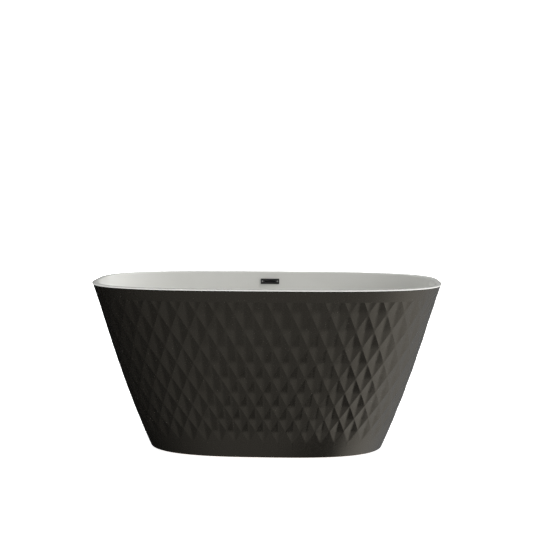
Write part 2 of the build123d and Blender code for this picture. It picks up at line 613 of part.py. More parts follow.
# Toe-tap stopper: crowned cap, seal ring and collared stem
CAP_BOTTOM = FLANGE_TOP + CAP_GAP
CAP_TOP = CAP_BOTTOM + CAP_EDGE_THICKNESS + CAP_CROWN
STOPPER_SEAL_TOP = SEAT_HEIGHT + STOPPER_SEAL_THICKNESS
STEM_TOP = STOPPER_SEAL_TOP + STEM_THREAD_DEPTH
with BuildPart() as stopper_cap:
    with BuildSketch(Plane.XZ):
        with BuildLine():
            Polyline(
                (0, CAP_TOP),
                (0, STEM_TOP),
                (STEM_RADIUS, STEM_TOP),
                (STEM_RADIUS, STOPPER_SEAL_TOP),
                (STOPPER_SEAL_RADIUS, STOPPER_SEAL_TOP),
                (STOPPER_SEAL_RADIUS, CAP_BOTTOM),
                (CAP_RADIUS, CAP_BOTTOM),
                (CAP_RADIUS, CAP_BOTTOM + CAP_EDGE_THICKNESS),
            )
            ThreePointArc(
                (CAP_RADIUS, CAP_BOTTOM + CAP_EDGE_THICKNESS),
                (0, CAP_TOP),
                (-CAP_RADIUS, CAP_BOTTOM + CAP_EDGE_THICKNESS),
            ).trim(0, 0.5)
        make_face()
    revolve(axis=Axis.Z)

with BuildPart() as stopper_seal:
    with BuildSketch(Plane.XY.offset(SEAT_HEIGHT)):
        Circle(STOPPER_SEAL_RADIUS)
        Circle(CAP_BOSS_RADIUS, mode=Mode.SUBTRACT)
    extrude(amount=STOPPER_SEAL_THICKNESS)

with BuildPart() as stopper_stem:
    with BuildSketch(Plane.XY.offset(FLOOR_HEIGHT - STEM_END_DEPTH)):
        Circle(STEM_RADIUS)
    extrude(amount=STEM_TOP - FLOOR_HEIGHT + STEM_END_DEPTH)
    with BuildSketch(Plane.XY.offset(FLOOR_HEIGHT - COLLAR_DEPTH)):
        Circle(COLLAR_RADIUS)
    extrude(amount=COLLAR_HEIGHT)

# Stopper cartridge: barrel held in the flange's hub, with a chamber for the spring and collar
CARTRIDGE_BOTTOM = FLOOR_HEIGHT - CARTRIDGE_BOTTOM_DEPTH
CARTRIDGE_TOP = FLOOR_HEIGHT - CARTRIDGE_TOP_DEPTH
CHAMBER_BOTTOM = CARTRIDGE_BOTTOM + CARTRIDGE_END_WALL
CHAMBER_TOP = CARTRIDGE_TOP - CARTRIDGE_END_WALL
with BuildPart() as stopper_cartridge:
    with BuildSketch(Plane.XY.offset(CARTRIDGE_BOTTOM)):
        Circle(CARTRIDGE_RADIUS)
        Circle(STEM_RADIUS + STEM_CLEARANCE, mode=Mode.SUBTRACT)
    extrude(amount=CARTRIDGE_TOP - CARTRIDGE_BOTTOM)
    with BuildSketch(Plane.XY.offset(CHAMBER_BOTTOM)):
        Circle(CHAMBER_RADIUS)
    extrude(amount=CHAMBER_TOP - CHAMBER_BOTTOM, mode=Mode.SUBTRACT)

SPRING_BOTTOM = CHAMBER_BOTTOM + 2 * SPRING_WIRE_RADIUS
SPRING_HEIGHT = FLOOR_HEIGHT - COLLAR_DEPTH - 2 * SPRING_WIRE_RADIUS - SPRING_BOTTOM
with BuildPart() as stopper_spring:
    with BuildLine(Plane.XY.offset(SPRING_BOTTOM)) as coil:
        Helix(SPRING_PITCH, SPRING_HEIGHT, SPRING_COIL_RADIUS)
    with BuildSketch(Plane(origin=coil.line @ 0, z_dir=coil.line % 0)):
        Circle(SPRING_WIRE_RADIUS)
    sweep(is_frenet=True)

# Overflow cover: slotted plate on the basin's inner face, with its gasket behind
with BuildPart() as overflow_cover:
    with BuildSketch(overflow_plane.offset(GASKET_THICKNESS)):
        RectangleRounded(COVER_LENGTH, COVER_HEIGHT, COVER_CORNER_RADIUS)
        SlotOverall(SLOT_LENGTH, SLOT_HEIGHT, mode=Mode.SUBTRACT)
    extrude(amount=COVER_THICKNESS)
    front_edges = overflow_cover.faces().sort_by(Axis(overflow_plane.origin, overflow_plane.z_dir))[-1].edges()
    fillet(front_edges, COVER_EDGE_RADIUS)
    with BuildSketch(overflow_plane.offset(GASKET_THICKNESS)):
        with GridLocations(COVER_SCREW_SPACING, 0, 2, 1):
            Circle(COVER_SCREW_RADIUS)
    extrude(amount=COVER_THICKNESS, mode=Mode.SUBTRACT)
    with BuildSketch(overflow_plane.offset(GASKET_THICKNESS + COVER_THICKNESS)):
        with GridLocations(COVER_SCREW_SPACING, 0, 2, 1):
            Circle(COVER_SCREW_HEAD_RADIUS)
    extrude(amount=-COVER_SCREW_HEAD_HEIGHT, mode=Mode.SUBTRACT)

overflow_gaskets = {}
for gasket_name, gasket_plane in (
    ("overflow_front_gasket", overflow_plane),
    ("overflow_back_gasket", overflow_plane.offset(-BASIN_WALL_ACROSS - GASKET_THICKNESS)),
):
    with BuildPart() as gasket:
        with BuildSketch(gasket_plane):
            RectangleRounded(COVER_LENGTH - 2 * GASKET_INSET, COVER_HEIGHT - 2 * GASKET_INSET, COVER_CORNER_RADIUS)
            SlotOverall(SLOT_LENGTH, SLOT_HEIGHT, mode=Mode.SUBTRACT)
            with GridLocations(COVER_SCREW_SPACING, 0, 2, 1):
                Circle(COVER_SCREW_RADIUS, mode=Mode.SUBTRACT)
        extrude(amount=GASKET_THICKNESS)
    overflow_gaskets[gasket_name] = gasket

with BuildPart() as overflow_screws:
    head_top = overflow_plane.offset(GASKET_THICKNESS + COVER_THICKNESS)
    with BuildSketch(head_top):
        with GridLocations(COVER_SCREW_SPACING, 0, 2, 1):
            Circle(COVER_SCREW_HEAD_RADIUS)
    extrude(amount=-COVER_SCREW_HEAD_HEIGHT)
    with BuildSketch(head_top):
        with GridLocations(COVER_SCREW_SPACING, 0, 2, 1):
            Circle(COVER_SCREW_RADIUS)
    extrude(amount=-COVER_SCREW_LENGTH)
    with BuildSketch(head_top):
        with GridLocations(COVER_SCREW_SPACING, 0, 2, 1):
            RegularPolygon(COVER_SCREW_RADIUS * 3 / 4, 6)
    extrude(amount=-COVER_SCREW_HEAD_HEIGHT / 2, mode=Mode.SUBTRACT)

# Overflow body: wedge-shaped chamber between the basin and the shell, with a socket for the pipe
WALL_SLANT = (1 + SIDE_LEAN**2) ** 0.5
BODY_TOP = OVERFLOW_HEIGHT + BODY_TOP_RISE
RIM_GAP = RIM_LEDGE - BASIN_WALL - SHELL_WALL - SHELL_SETBACK
GAP_GROWTH = SIDE_LEAN - (WIDTH - BASE_WIDTH) / 2 / HEIGHT
SOCKET_GAP = 2 * (PIPE_RADIUS + PIPE_SOCKET_WALL) + BODY_SOCKET_ROOM
BODY_BOTTOM = HEIGHT - (SOCKET_GAP - RIM_GAP) / GAP_GROWTH


def body_front_y(height):
    """Y of the body's front face, which lies on the back gasket."""
    return basin_wall_outline(height, BASIN_WALL)[1] + GASKET_THICKNESS * WALL_SLANT


def body_back_y(height):
    """Y of the body's back face, a clearance inside the shell."""
    return shell_outline(height, SHELL_WALL)[1] - BODY_SHELL_CLEARANCE


pipe_start = Vector(0, (body_front_y(BODY_BOTTOM) + body_back_y(BODY_BOTTOM)) / 2, BODY_BOTTOM)
pipe_corner = Vector(0, PIPE_CORNER_Y, SIDE_INLET_HEIGHT)
pipe_direction = (pipe_corner - pipe_start).normalized()
socket_plane = Plane(origin=pipe_start - pipe_direction * SOCKET_SINK, x_dir=(1, 0, 0), z_dir=pipe_direction)
CHAMBER_HALF_LENGTH = COVER_SCREW_SPACING / 2 - COVER_SCREW_HEAD_RADIUS
with BuildPart() as overflow_body:
    with BuildSketch(Plane.YZ):
        with BuildLine():
            Polyline(
                (body_front_y(BODY_BOTTOM), BODY_BOTTOM),
                (body_back_y(BODY_BOTTOM), BODY_BOTTOM),
                (body_back_y(BODY_TOP), BODY_TOP),
                (body_front_y(BODY_TOP), BODY_TOP),
                close=True,
            )
        make_face()
    extrude(amount=BODY_LENGTH / 2, both=True)
    with BuildSketch(socket_plane):
        Circle(PIPE_RADIUS + PIPE_SOCKET_WALL)
    extrude(amount=PIPE_SOCKET_LENGTH)
    with BuildSketch(Plane.YZ):
        with BuildLine():
            Polyline(
                (body_front_y(BODY_BOTTOM) + BODY_WALL, BODY_BOTTOM + BODY_WALL),
                (body_back_y(BODY_BOTTOM) - BODY_WALL, BODY_BOTTOM + BODY_WALL),
                (body_back_y(BODY_TOP) - BODY_WALL, BODY_TOP - BODY_WALL),
                (body_front_y(BODY_TOP) + BODY_WALL, BODY_TOP - BODY_WALL),
                close=True,
            )
        make_face()
    extrude(amount=CHAMBER_HALF_LENGTH, both=True, mode=Mode.SUBTRACT)
    with BuildSketch(socket_plane):
        Circle(PIPE_RADIUS)
    extrude(amount=PIPE_SOCKET_LENGTH, mode=Mode.SUBTRACT)
    with BuildSketch(overflow_plane.offset(-BASIN_WALL_ACROSS - GASKET_THICKNESS)):
        SlotOverall(SLOT_LENGTH, SLOT_HEIGHT)
    extrude(amount=-2 * BODY_WALL, mode=Mode.SUBTRACT)
    with BuildSketch(overflow_plane):
        with GridLocations(COVER_SCREW_SPACING, 0, 2, 1):
            Circle(COVER_SCREW_RADIUS)
    extrude(amount=GASKET_THICKNESS + COVER_THICKNESS - COVER_SCREW_LENGTH, mode=Mode.SUBTRACT)

# Overflow pipe: rigid tube from the body's socket down behind the basin to the tee's side inlet
pipe_top = pipe_start + pipe_direction * (PIPE_SOCKET_LENGTH - SOCKET_SINK - PIPE_ENGAGEMENT)
pipe_end = Vector(0, SIDE_INLET_REACH - PIPE_ENGAGEMENT, SIDE_INLET_HEIGHT)
with BuildPart() as overflow_pipe:
    with BuildLine() as pipe_route:
        FilletPolyline(pipe_top, pipe_corner, pipe_end, radius=PIPE_BEND_RADIUS)
    with BuildSketch(Plane(origin=pipe_top, x_dir=(1, 0, 0), z_dir=pipe_direction)):
        Circle(PIPE_RADIUS)
        Circle(PIPE_RADIUS - PIPE_WALL, mode=Mode.SUBTRACT)
    sweep()

pieces = {
    "outer_shell": outer_shell,
    "basin": basin,
    "rim_bond": rim_bond,
    "skirt_base_ring": skirt_base_ring,
    "floor_board": floor_board,
    **long_rails,
    **cross_rails,
    "rail_end_plugs": rail_end_plugs,
    "frame_screws": frame_screws,
    "foot_bosses": foot_bosses,
    "jam_nuts": jam_nuts,
    **foot_studs,
    **foot_pads,
    "drain_flange": drain_flange,
    "drain_spider": drain_spider,
    "drain_top_seal": drain_top_seal,
    "drain_bottom_seal": drain_bottom_seal,
    "drain_washer": drain_washer,
    "drain_lock_nut": drain_lock_nut,
    "drain_tee": drain_tee,
    "tailpiece": tailpiece,
    "slip_washers": slip_washers,
    **slip_nuts,
    "stopper_cap": stopper_cap,
    "stopper_seal": stopper_seal,
    "stopper_stem": stopper_stem,
    "stopper_cartridge": stopper_cartridge,
    "stopper_spring": stopper_spring,
    "overflow_cover": overflow_cover,
    **overflow_gaskets,
    "overflow_screws": overflow_screws,
    "overflow_body": overflow_body,
    "overflow_pipe": overflow_pipe,
}
for name, piece in pieces.items():
    piece.part.label = name
    export_step(piece.part, f"parts/{name}.step")
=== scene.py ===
import json
import math

import bmesh
import bpy
import numpy as np
from mathutils import Matrix, Vector


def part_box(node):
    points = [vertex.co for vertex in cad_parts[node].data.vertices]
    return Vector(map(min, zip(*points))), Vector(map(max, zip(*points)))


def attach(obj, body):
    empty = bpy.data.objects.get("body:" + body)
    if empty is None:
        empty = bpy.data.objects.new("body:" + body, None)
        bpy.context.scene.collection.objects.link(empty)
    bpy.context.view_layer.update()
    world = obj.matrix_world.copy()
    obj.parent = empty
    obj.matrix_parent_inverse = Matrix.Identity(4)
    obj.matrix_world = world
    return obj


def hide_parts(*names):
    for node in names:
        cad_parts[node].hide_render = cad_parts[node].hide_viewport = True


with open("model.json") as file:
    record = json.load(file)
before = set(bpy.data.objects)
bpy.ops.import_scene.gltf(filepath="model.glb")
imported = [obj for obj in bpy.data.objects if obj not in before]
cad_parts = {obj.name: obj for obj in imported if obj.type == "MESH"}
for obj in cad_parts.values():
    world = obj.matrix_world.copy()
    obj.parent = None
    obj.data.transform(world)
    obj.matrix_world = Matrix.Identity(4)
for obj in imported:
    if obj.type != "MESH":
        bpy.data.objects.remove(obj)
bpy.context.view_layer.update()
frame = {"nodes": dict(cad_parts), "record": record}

# A freestanding oval bathtub: a black shell moulded with diamond dimples, round a white basin.
# Metres. +X along the tub, +Y towards the overflow, +Z up, the ground at Z = 0.

# ---------------------------------------------------------------- driving sizes
MM = 0.001
FINE_STEPS = 32
basin_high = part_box("basin")[1]
shell_low, shell_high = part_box("outer_shell")
HALF_LENGTH = basin_high.x
HALF_WIDTH = basin_high.y
HEIGHT = basin_high.z
BASE_HALF_LENGTH = 505 * MM
BASE_HALF_WIDTH = 285 * MM
RIM_POWER = 3.2
BASE_POWER = 2.9
END_BOW = 13 * MM
SIDE_BOW = 5 * MM
BOW_POWER = 1.5
BOW_SCALE = 5.38
SHELL_SETBACK = 1.5 * MM
SHELL_WALL = 9 * MM
SHELL_EDGE_RADIUS = 1.2 * MM
EDGE_ROUNDING = 0.3
INSIDE_STEPS = 12

# Diamond pattern: columns of diamonds round the shell, rows that shrink towards the ground
DIAMOND_COLUMNS = 48
CELL_STEPS = 8
FIRST_ROW_HEIGHT = 615.5 * MM
FIRST_ROW_SPACING = 72.3 * MM
ROW_RATIO = 0.957
TOP_ROW = 3 / 8
LAST_ROW = 9
DIMPLE_DEPTH = 4.8 * MM
VALLEY_ROUNDING = 0.5
LEDGE_DROP = 0.4 * MM
CREASE_ANGLE = math.radians(13)

# Basin
RIM_THICKNESS = 5 * MM
RIM_LEDGE = 25 * MM
RIM_OUTER_RADIUS = 1.8 * MM
RIM_INNER_RADIUS = 5 * MM
BASIN_WALL = 6 * MM
FLOOR_HEIGHT = 150 * MM
WELL_HALF_LENGTH = 490 * MM
WELL_HALF_WIDTH = 200 * MM
WELL_POWER = 2.9
KNEE_RISE = 90 * MM
KNEE_REACH = 90 * MM
DRAIN_RECESS_RADIUS = 36 * MM
DRAIN_RECESS_DEPTH = 2.5 * MM
DRAIN_HOLE_RADIUS = 26 * MM
BASIN_COLUMNS = 288
BASIN_CREASE_ANGLE = math.radians(50)
WALL_STEPS = 10
KNEE_STEPS = 12

# Overflow, seen from its cover: a slot and two screw holes through the basin's wall
OVERFLOW_DROP = 46 * MM
SLOT_LENGTH = 52 * MM
SLOT_HEIGHT = 10 * MM
COVER_SCREW_SPACING = 70 * MM
SCREW_HOLE_RADIUS = 2.5 * MM
ROUND_STEPS = 16


# ---------------------------------------------------------------- shape rules
def superellipse_ring(half_length, half_width, power, columns):
    """Points of a superellipse spaced evenly along it, from its +X tip."""
    angle = np.linspace(0, 2 * math.pi, FINE_STEPS * columns + 1)
    x = half_length * np.sign(np.cos(angle)) * np.abs(np.cos(angle)) ** (2 / power)
    y = half_width * np.sign(np.sin(angle)) * np.abs(np.sin(angle)) ** (2 / power)
    run = np.concatenate([[0], np.cumsum(np.hypot(np.diff(x), np.diff(y)))])
    stations = np.arange(columns) * run[-1] / columns
    return np.column_stack([np.interp(stations, run, x), np.interp(stations, run, y)])


def shell_outline(height, inset):
    """Half length, half width and power of the shell at a height."""
    rise = height / HEIGHT
    bow = BOW_SCALE * rise * (1 - rise) ** BOW_POWER
    half_length = BASE_HALF_LENGTH + rise * (HALF_LENGTH - BASE_HALF_LENGTH) + END_BOW * bow
    half_width = BASE_HALF_WIDTH + rise * (HALF_WIDTH - BASE_HALF_WIDTH) + SIDE_BOW * bow
    power = BASE_POWER + rise * (RIM_POWER - BASE_POWER)
    setback = inset + SHELL_SETBACK * rise
    return half_length - setback, half_width - setback, power


def row_height(row):
    """Height of a place in the diamond pattern, counted in rows from the top, straight between rows."""
    whole = math.floor(row)
    steps = [FIRST_ROW_SPACING * ROW_RATIO ** (number - 1) for number in range(whole + 1)]
    if whole == 0:
        top = FIRST_ROW_HEIGHT + steps[0]
    else:
        top = FIRST_ROW_HEIGHT - sum(steps[1:whole])
    spacing = FIRST_ROW_SPACING * ROW_RATIO ** (whole - 1)
    return top - (row - whole) * spacing


def closed_rings_mesh(name, rings, split_quad=None):
    """A closed skin through rings of points, the last ring joined back to the first."""
    columns = len(rings[0])
    points = [tuple(point) for ring in rings for point in ring]
    faces = []
    for row in range(len(rings)):
        below = (row + 1) % len(rings)
        for column in range(columns):
            beside = (column + 1) % columns
            upper_left, upper_right = row * columns + column, row * columns + beside
            lower_left, lower_right = below * columns + column, below * columns + beside
            way = split_quad(row, column) if split_quad else None
            if way is None:
                faces.append((upper_left, lower_left, lower_right, upper_right))
            elif way:
                faces.append((upper_left, lower_left, upper_right))
                faces.append((upper_right, lower_left, lower_right))
            else:
                faces.append((upper_left, lower_left, lower_right))
                faces.append((upper_left, lower_right, upper_right))
    mesh = bpy.data.meshes.new(name)
    mesh.from_pydata(points, [], faces)
    mesh.validate()
    return mesh


def recalculate_outward(mesh):
    """Turns every face of a closed skin outwards."""
    work = bmesh.new()
    work.from_mesh(mesh)
    bmesh.ops.recalc_face_normals(work, faces=work.faces)
    work.to_mesh(mesh)
    work.free()


def add_object(name, mesh):
    """A new object for a mesh, in the scene, at the origin."""
    piece = bpy.data.objects.new(name, mesh)
    bpy.context.scene.collection.objects.link(piece)
    return piece


# ---------------------------------------------------------------- materials
def new_material(name):
    """An empty node material with a Principled shader and its output."""
    material = bpy.data.materials.new(name)
    material.use_nodes = True
    tree = material.node_tree
    tree.nodes.clear()
    output = tree.nodes.new("ShaderNodeOutputMaterial")
    shader = tree.nodes.new("ShaderNodeBsdfPrincipled")
    tree.links.new(shader.outputs["BSDF"], output.inputs["Surface"])
    return material, tree, shader


def object_noise(tree, scale, stretch=(1, 1, 1), detail=4):
    """Noise read from the object's own coordinates, in lumps per metre."""
    place = tree.nodes.new("ShaderNodeTexCoord")
    mapping = tree.nodes.new("ShaderNodeMapping")
    mapping.inputs["Scale"].default_value = stretch
    noise = tree.nodes.new("ShaderNodeTexNoise")
    noise.inputs["Scale"].default_value = scale
    noise.inputs["Detail"].default_value = detail
    tree.links.new(place.outputs["Object"], mapping.inputs["Vector"])
    tree.links.new(mapping.outputs["Vector"], noise.inputs["Vector"])
    return noise.outputs["Fac"]


def maths(tree, operation, *values):
    """A sum done by a node, on numbers or on other nodes' results."""
    node = tree.nodes.new("ShaderNodeMath")
    node.operation = operation
    for socket, value in zip(node.inputs, values):
        if isinstance(value, (int, float)):
            socket.default_value = value
        else:
            tree.links.new(value, socket)
    return node.outputs[0]


def mapped(tree, value, low, high, at_low, at_high):
    """A value moved from one range to another, and held inside it."""
    node = tree.nodes.new("ShaderNodeMapRange")
    node.clamp = True
    for name, number in (("From Min", low), ("From Max", high), ("To Min", at_low), ("To Max", at_high)):
        node.inputs[name].default_value = number
    tree.links.new(value, node.inputs["Value"])
    return node.outputs["Result"]


def blended(tree, share, first, second):
    """A colour between two others."""
    node = tree.nodes.new("ShaderNodeMix")
    node.data_type = "RGBA"
    tree.links.new(share, node.inputs["Factor"])
    for socket, colour in zip((node.inputs[6], node.inputs[7]), (first, second)):
        if isinstance(colour, tuple):
            socket.default_value = (*colour, 1)
        else:
            tree.links.new(colour, socket)
    return node.outputs[2]


DRIFT_RANGE = (0.35, 0.75)
UNEVEN_RANGE = (0.25, 0.75)
SCUFF_RANGE = (0.62, 0.78)
SCUFF_STRETCH = (3, 1, 1)
SCUFF_DETAIL = 8
RELIEF_DETAIL = 2


def finish(
    name, colour, worn, roughness, spread, lumps, stretch=(1, 1, 1), metallic=0.0, bump=0.02, tint=(1, 1, 1)
):
    """A worn, slightly uneven finish. The colour drifts towards the worn one, the roughness varies
    by the spread and rises in scuffs, and the bump is that many millimetres deep."""
    material, tree, shader = new_material(name)
    drift = mapped(tree, object_noise(tree, lumps / 8), *DRIFT_RANGE, 0, 1)
    tree.links.new(blended(tree, drift, colour, worn), shader.inputs["Base Color"])
    grain = object_noise(tree, lumps, stretch)
    uneven = mapped(tree, grain, *UNEVEN_RANGE, roughness - spread, roughness + spread)
    marks = object_noise(tree, lumps / 3, SCUFF_STRETCH, SCUFF_DETAIL)
    scuffs = mapped(tree, marks, *SCUFF_RANGE, 0, 2 * spread)
    tree.links.new(maths(tree, "ADD", uneven, scuffs), shader.inputs["Roughness"])
    relief = tree.nodes.new("ShaderNodeBump")
    relief.inputs["Distance"].default_value = bump * MM
    tree.links.new(object_noise(tree, 2 * lumps, stretch, RELIEF_DETAIL), relief.inputs["Height"])
    tree.links.new(relief.outputs["Normal"], shader.inputs["Normal"])
    shader.inputs["Metallic"].default_value = metallic
    shader.inputs["Specular Tint"].default_value = (*tint, 1)
    return material


def plywood_finish(name):
    """Birch plywood: long grain on the faces and thin glue lines between the plies on the edges."""
    material, tree, shader = new_material(name)
    grain = mapped(tree, object_noise(tree, GRAIN_LUMPS, GRAIN_STRETCH, SCUFF_DETAIL), *GRAIN_RANGE, 0, 1)
    face = blended(tree, grain, PLYWOOD_PALE, PLYWOOD_DARK)
    place = tree.nodes.new("ShaderNodeTexCoord")
    plies = tree.nodes.new("ShaderNodeTexWave")
    plies.bands_direction = "Z"
    plies.inputs["Scale"].default_value = PLY_WAVES / PLY_THICKNESS * math.pi
    plies.inputs["Distortion"].default_value = PLY_WOBBLE
    tree.links.new(place.outputs["Object"], plies.inputs["Vector"])
    lines = mapped(tree, plies.outputs["Fac"], 0, GLUE_WIDTH, GLUE_SHARE, 0)
    tree.links.new(blended(tree, lines, face, PLYWOOD_GLUE), shader.inputs["Base Color"])
    tree.links.new(mapped(tree, grain, 0, 1, *PLYWOOD_ROUGHNESS), shader.inputs["Roughness"])
    relief = tree.nodes.new("ShaderNodeBump")
    relief.inputs["Distance"].default_value = PLYWOOD_RELIEF
    tree.links.new(grain, relief.inputs["Height"])
    tree.links.new(relief.outputs["Normal"], shader.inputs["Normal"])
    return material


PLYWOOD_PALE = (0.60, 0.43, 0.26)
PLYWOOD_DARK = (0.44, 0.28, 0.15)
PLYWOOD_GLUE = (0.16, 0.09, 0.05)
PLY_THICKNESS = 1.4 * MM
PLY_WAVES = 0.05
PLY_WOBBLE = 0.3
GLUE_WIDTH = 0.35
GLUE_SHARE = 0.6
GRAIN_LUMPS = 6
GRAIN_STRETCH = (1, 14, 1)
GRAIN_RANGE = (0.3, 0.7)
PLYWOOD_ROUGHNESS = (0.62, 0.8)
PLYWOOD_RELIEF = 0.15 * MM
FINE_GRAIN = (1, 1, 30)

finishes = {
    "satin_black_acrylic": finish(
        "satin_black_acrylic",
        (0.0036, 0.0031, 0.0024),
        (0.0048, 0.0044, 0.0036),
        0.27,
        0.03,
        60,
        bump=0.03,
        tint=(1.0, 0.92, 0.78),
    ),
    "white_acrylic": finish(
        "white_acrylic", (0.80, 0.80, 0.77), (0.77, 0.77, 0.735), 0.16, 0.04, 40, bump=0.02
    ),
    "bond_adhesive": finish("bond_adhesive", (0.010, 0.010, 0.010), (0.02, 0.02, 0.02), 0.7, 0.1, 200),
    "plywood": plywood_finish("plywood"),
    "frame_steel": finish(
        "frame_steel", (0.018, 0.019, 0.021), (0.035, 0.035, 0.037), 0.5, 0.08, 900, bump=0.06
    ),
    "zinc_steel": finish(
        "zinc_steel", (0.42, 0.42, 0.40), (0.30, 0.30, 0.29), 0.38, 0.1, 300, FINE_GRAIN, metallic=1.0
    ),
    "black_plastic": finish("black_plastic", (0.012, 0.012, 0.012), (0.022, 0.022, 0.022), 0.55, 0.08, 700),
    "grey_plastic": finish("grey_plastic", (0.17, 0.175, 0.18), (0.22, 0.22, 0.22), 0.48, 0.07, 400),
    "white_plastic": finish("white_plastic", (0.68, 0.68, 0.65), (0.60, 0.60, 0.55), 0.42, 0.06, 300),
    "black_rubber": finish(
        "black_rubber", (0.009, 0.009, 0.009), (0.02, 0.02, 0.019), 0.8, 0.08, 800, bump=0.05
    ),
    "polished_chrome": finish(
        "polished_chrome", (0.60, 0.61, 0.63), (0.54, 0.55, 0.57), 0.08, 0.04, 200, metallic=1.0, bump=0.004
    ),
    "matt_black_metal": finish(
        "matt_black_metal", (0.006, 0.006, 0.006), (0.010, 0.010, 0.010), 0.42, 0.05, 500, bump=0.02
    ),
    "spring_steel": finish(
        "spring_steel", (0.42, 0.42, 0.42), (0.30, 0.29, 0.28), 0.3, 0.08, 500, FINE_GRAIN, metallic=1.0
    ),
}


def finish_cad_nodes():
    """Gives every node of the solid model the finish of its material slot."""
    for subpart in frame["record"]["subparts"]:
        slots = frame["nodes"][subpart["node"]].data.materials
        slots.clear()
        slots.append(finishes[subpart["material_slot"]])


# ---------------------------------------------------------------- outer shell
def pattern_share(row, column):
    """1 where the skin belongs to a dimple of the last row or above, 0 below the last row's points."""
    beside = abs(column - 2 * round(column / 2))
    return 1 if row <= LAST_ROW + 1 - beside else 0


def shell_rows():
    """Rows of the shell's skin from its top edge down the outside and up the inside:
    (height, inset, pattern row, whether the pattern reaches there)."""
    top = shell_high.z
    bottom = shell_low.z
    rows = []
    rows.append((top, SHELL_EDGE_RADIUS, 0, 0))
    corner = EDGE_ROUNDING * SHELL_EDGE_RADIUS
    rows.append((top - corner, corner, 0, 0))
    rows.append((top - SHELL_EDGE_RADIUS, 0, 0, 0))
    pattern_top = row_height(TOP_ROW)
    for share in (0.25, 0.5, 0.75):
        rows.append((top + share * (pattern_top - top), 0, 0, 0))
    rows.append((pattern_top + LEDGE_DROP, 0, 0, 0))
    steps = round((LAST_ROW + 1 - TOP_ROW) * CELL_STEPS)
    for step in range(steps + 1):
        row = TOP_ROW + step / CELL_STEPS
        rows.append((row_height(row), 0, row, 1))
    pattern_bottom = row_height(LAST_ROW + 1)
    for share in (1 / 3, 2 / 3):
        rows.append((pattern_bottom + share * (bottom - pattern_bottom), 0, 0, 0))
    rows.append((bottom + SHELL_EDGE_RADIUS, 0, 0, 0))
    rows.append((bottom + corner, corner, 0, 0))
    rows.append((bottom, SHELL_EDGE_RADIUS, 0, 0))
    for step in range(INSIDE_STEPS + 1):
        rows.append((bottom + step * (top - bottom) / INSIDE_STEPS, SHELL_WALL, 0, 0))
    return rows


def crease_split(row_list):
    """For a quad of the skin, which diagonal follows the pattern's ridges, or None outside it."""

    def split(row, column):
        place, following = row_list[row], row_list[(row + 1) % len(row_list)]
        if not (place[3] and following[3]):
            return None
        cell_row = math.floor(place[2] + 0.5 / CELL_STEPS)
        cell_column = column // CELL_STEPS
        return (cell_row + cell_column) % 2 == 1

    return split


def dimple_tree():
    """Geometry nodes: press a diamond dimple into the skin at every lattice centre, with sharp creases."""
    tree = bpy.data.node_groups.new("diamond_dimples", "GeometryNodeTree")
    sockets = tree.interface
    sockets.new_socket("Geometry", in_out="INPUT", socket_type="NodeSocketGeometry")
    depth = sockets.new_socket("Dimple depth", in_out="INPUT", socket_type="NodeSocketFloat")
    depth.subtype = "DISTANCE"
    sockets.new_socket("Valley rounding", in_out="INPUT", socket_type="NodeSocketFloat")
    sockets.new_socket("Crease angle", in_out="INPUT", socket_type="NodeSocketFloat")
    sockets.new_socket("Material", in_out="INPUT", socket_type="NodeSocketMaterial")
    sockets.new_socket("Geometry", in_out="OUTPUT", socket_type="NodeSocketGeometry")
    nodes, links = tree.nodes, tree.links
    given = nodes.new("NodeGroupInput")
    result = nodes.new("NodeGroupOutput")

    def attribute(name):
        node = nodes.new("GeometryNodeInputNamedAttribute")
        node.data_type = "FLOAT"
        node.inputs["Name"].default_value = name
        return node.outputs["Attribute"]

    column, row = attribute("column"), attribute("row")
    falling = maths(tree, "PINGPONG", maths(tree, "ADD", maths(tree, "ADD", column, row), 1), 1)
    rising = maths(tree, "PINGPONG", maths(tree, "ADD", maths(tree, "SUBTRACT", column, row), 1), 1)
    edge = maths(tree, "SMOOTH_MAX", falling, rising, given.outputs["Valley rounding"])
    hollow = maths(tree, "MULTIPLY", maths(tree, "SUBTRACT", 1, edge), attribute("pattern"))
    outward = maths(tree, "MULTIPLY", maths(tree, "MULTIPLY", hollow, given.outputs["Dimple depth"]), -1)
    inward = nodes.new("ShaderNodeVectorMath")
    inward.operation = "SCALE"
    links.new(nodes.new("GeometryNodeInputNormal").outputs["Normal"], inward.inputs[0])
    links.new(outward, inward.inputs["Scale"])
    shift = nodes.new("GeometryNodeSetPosition")
    links.new(given.outputs["Geometry"], shift.inputs["Geometry"])
    links.new(inward.outputs[0], shift.inputs["Offset"])
    smooth = nodes.new("GeometryNodeSetShadeSmooth")
    smooth.inputs["Shade Smooth"].default_value = True
    links.new(shift.outputs[0], smooth.inputs["Geometry"])
    crease = nodes.new("GeometryNodeSetShadeSmooth")
    crease.domain = "EDGE"
    crease.inputs["Shade Smooth"].default_value = False
    links.new(smooth.outputs[0], crease.inputs["Geometry"])
    fold = nodes.new("GeometryNodeInputMeshEdgeAngle").outputs["Unsigned Angle"]
    folded = maths(tree, "GREATER_THAN", fold, given.outputs["Crease angle"])
    links.new(folded, crease.inputs["Selection"])
    realize = nodes.new("GeometryNodeRealizeInstances")
    links.new(crease.outputs[0], realize.inputs["Geometry"])
    coat = nodes.new("GeometryNodeSetMaterial")
    links.new(realize.outputs[0], coat.inputs["Geometry"])
    links.new(given.outputs["Material"], coat.inputs["Material"])
    links.new(coat.outputs[0], result.inputs["Geometry"])
    return tree


